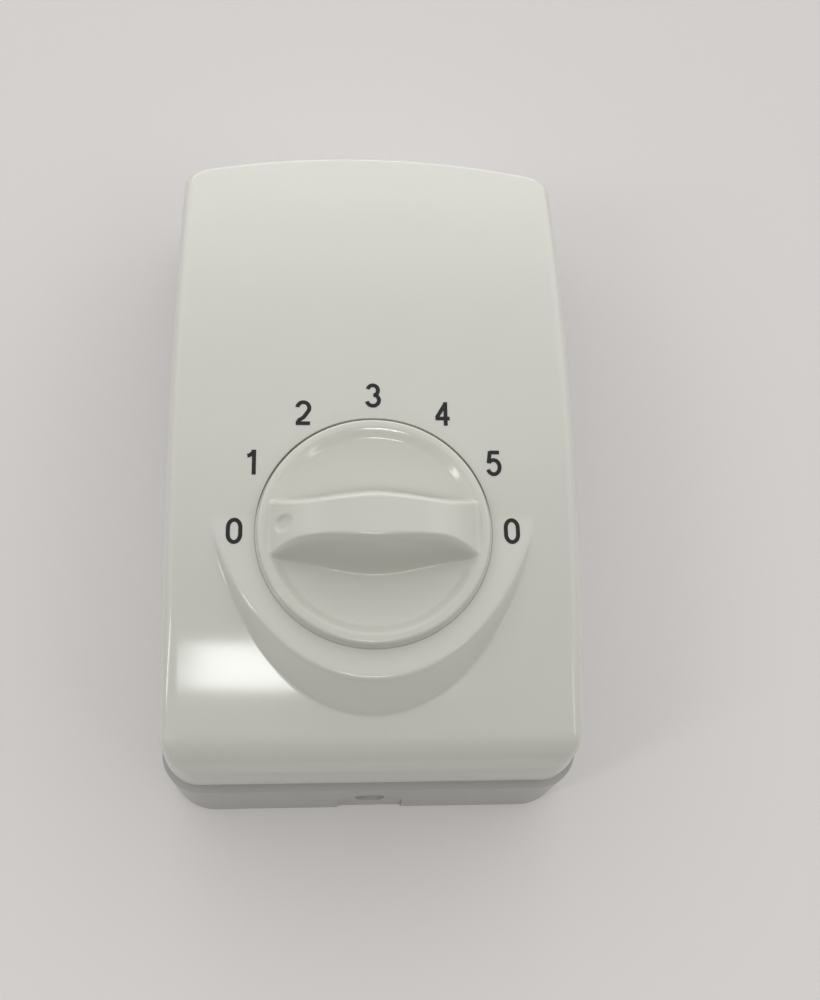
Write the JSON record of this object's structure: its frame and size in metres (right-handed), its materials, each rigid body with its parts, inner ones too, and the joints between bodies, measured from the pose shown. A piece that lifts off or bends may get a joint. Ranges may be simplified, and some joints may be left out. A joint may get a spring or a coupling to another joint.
{
  "type": "fan speed control switch",
  "caption": "Surface-mounted rotary speed controller for a ceiling fan: arched box, dished knob with grip bar, numbered dial, tapped transformer and rotary switch inside.",
  "frame": {"origin": "centre of the flat rear face that lies on the wall", "axes": "+Z out of the wall towards the user, +Y up the wall towards the end marked 3, +X to the user's right"},
  "size_m": [0.08, 0.139, 0.0517],
  "materials": {
    "cover_plastic": "injection-moulded, fine satin texture",
    "base_plastic": "injection-moulded, fine satin texture",
    "knob_plastic": "injection-moulded, satin",
    "numeral_ink": "pad-printed ink film",
    "spring_steel": "hardened strip, as rolled",
    "plated_steel": "zinc plated",
    "nickel_brass": "nickel plated",
    "contact_brass": "stamped, bright",
    "wafer_laminate": "punched paper laminate",
    "rotor_plastic": "moulded acetal, natural",
    "detent_plastic": "moulded acetal, natural",
    "core_steel": "varnished laminations",
    "bobbin_nylon": "moulded glass-filled nylon",
    "winding_copper": "enamelled copper wire",
    "terminal_nylon": "moulded nylon, natural",
    "lead_insulation": "extruded insulation"
  },
  "bodies": {
    "housing": {"front_cover": "cover_plastic", "rear_base": "base_plastic", "dial_numerals": "numeral_ink", "switch_bush": "nickel_brass", "bush_washer": "plated_steel", "bush_nut": "nickel_brass", "switch_front_plate": "plated_steel", "switch_spacers": "nickel_brass", "switch_screws": "plated_steel", "switch_wafer": "wafer_laminate", "switch_contacts": "contact_brass", "detent_spring": "spring_steel", "transformer_core": "core_steel", "transformer_bobbin": "bobbin_nylon", "transformer_winding": "winding_copper", "transformer_screws": "plated_steel", "terminal_block": "terminal_nylon", "terminal_cages": "nickel_brass", "terminal_screws": "plated_steel", "terminal_block_screw": "plated_steel", "cover_screw": "plated_steel", "tap_leads": "lead_insulation", "line_leads": "lead_insulation"},
    "selector": {"speed_knob": "knob_plastic", "knob_spring_clip": "spring_steel", "switch_shaft": "plated_steel", "shaft_circlip": "spring_steel", "detent_wheel": "detent_plastic", "switch_rotor": "rotor_plastic", "rotor_contact": "contact_brass"}
  },
  "joints": [
    {"name": "speed_select", "type": "hinge", "parent": "housing", "child": "selector", "pos_m": [0, -0.0225, 0.0429], "axis": [0, 0, 1], "range_deg": [-180, 0], "deforming": ["detent_spring"]}
  ]
}
